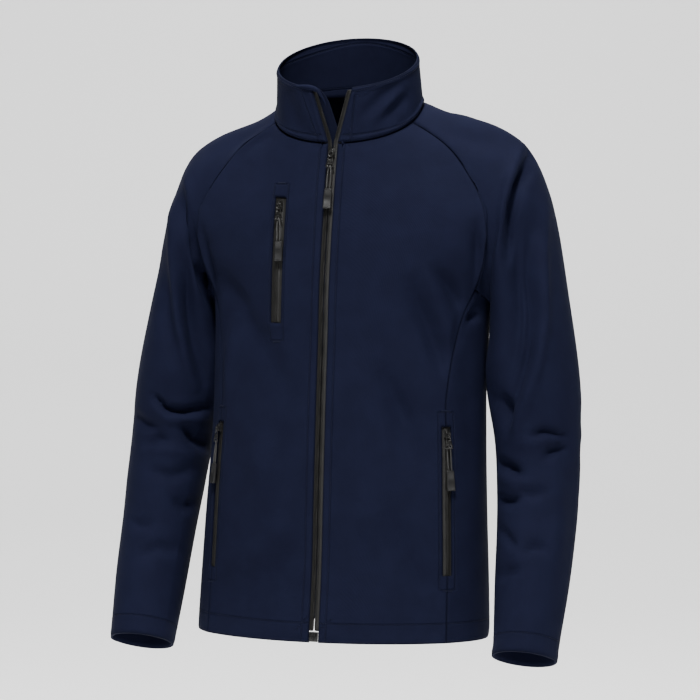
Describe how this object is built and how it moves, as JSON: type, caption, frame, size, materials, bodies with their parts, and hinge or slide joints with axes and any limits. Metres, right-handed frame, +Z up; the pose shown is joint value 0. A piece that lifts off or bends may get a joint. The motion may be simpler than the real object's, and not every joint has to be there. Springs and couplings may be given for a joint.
{
  "type": "softshell jacket",
  "caption": "Worn-form softshell jacket with raglan sleeves, a stand collar open at the top of its front zip, a zipped chest pocket and zipped lower pockets.",
  "frame": {"origin": "on the middle plane of the jacket, inside the neck, at the height of the shoulders' neck points, where the wearer's shoulders hold it up", "axes": "+X to the wearer's left, +Y to the back, +Z up; the front zip faces -Y"},
  "size_m": [0.6453, 0.3108, 0.8378],
  "materials": {
    "softshell": "matt woven navy",
    "zip_tape": "woven tape with a moulded coil",
    "zip_metal": "satin dark",
    "pull_grip": "moulded, satin"
  },
  "bodies": {
    "jacket": {"front_left": "softshell", "front_right": "softshell", "side_left": "softshell", "side_right": "softshell", "back": "softshell", "sleeve_left": "softshell", "sleeve_right": "softshell", "collar": "softshell", "storm_flap": "softshell", "zip_tape_left": "zip_tape", "zip_tape_right": "zip_tape", "pocket_zip_chest": "zip_tape", "pocket_zip_left": "zip_tape", "pocket_zip_right": "zip_tape", "slider_main": "zip_metal", "slider_chest": "zip_metal", "slider_left": "zip_metal", "slider_right": "zip_metal", "zip_box": "zip_metal"},
    "pull_main": {"pull_main": "pull_grip"},
    "pull_chest": {"pull_chest": "pull_grip"},
    "pull_left": {"pull_left": "pull_grip"},
    "pull_right": {"pull_right": "pull_grip"}
  },
  "joints": [
    {"name": "pull_main_swing", "type": "hinge", "parent": "jacket", "child": "pull_main", "pos_m": [0, -0.05667, -0.06126], "axis": [-1, 0, 0], "range_deg": [0, 150]},
    {"name": "pull_chest_swing", "type": "hinge", "parent": "jacket", "child": "pull_chest", "pos_m": [-0.07081, -0.06567, -0.13088], "axis": [-0.9879, 0.1524, -0.0271], "range_deg": [0, 150]},
    {"name": "pull_left_swing", "type": "hinge", "parent": "jacket", "child": "pull_left", "pos_m": [0.16275, -0.05452, -0.43214], "axis": [-0.7474, -0.6636, 0.0332], "range_deg": [0, 150]},
    {"name": "pull_right_swing", "type": "hinge", "parent": "jacket", "child": "pull_right", "pos_m": [-0.16275, -0.05452, -0.43214], "axis": [-0.7474, 0.6636, -0.0332], "range_deg": [0, 150]}
  ]
}
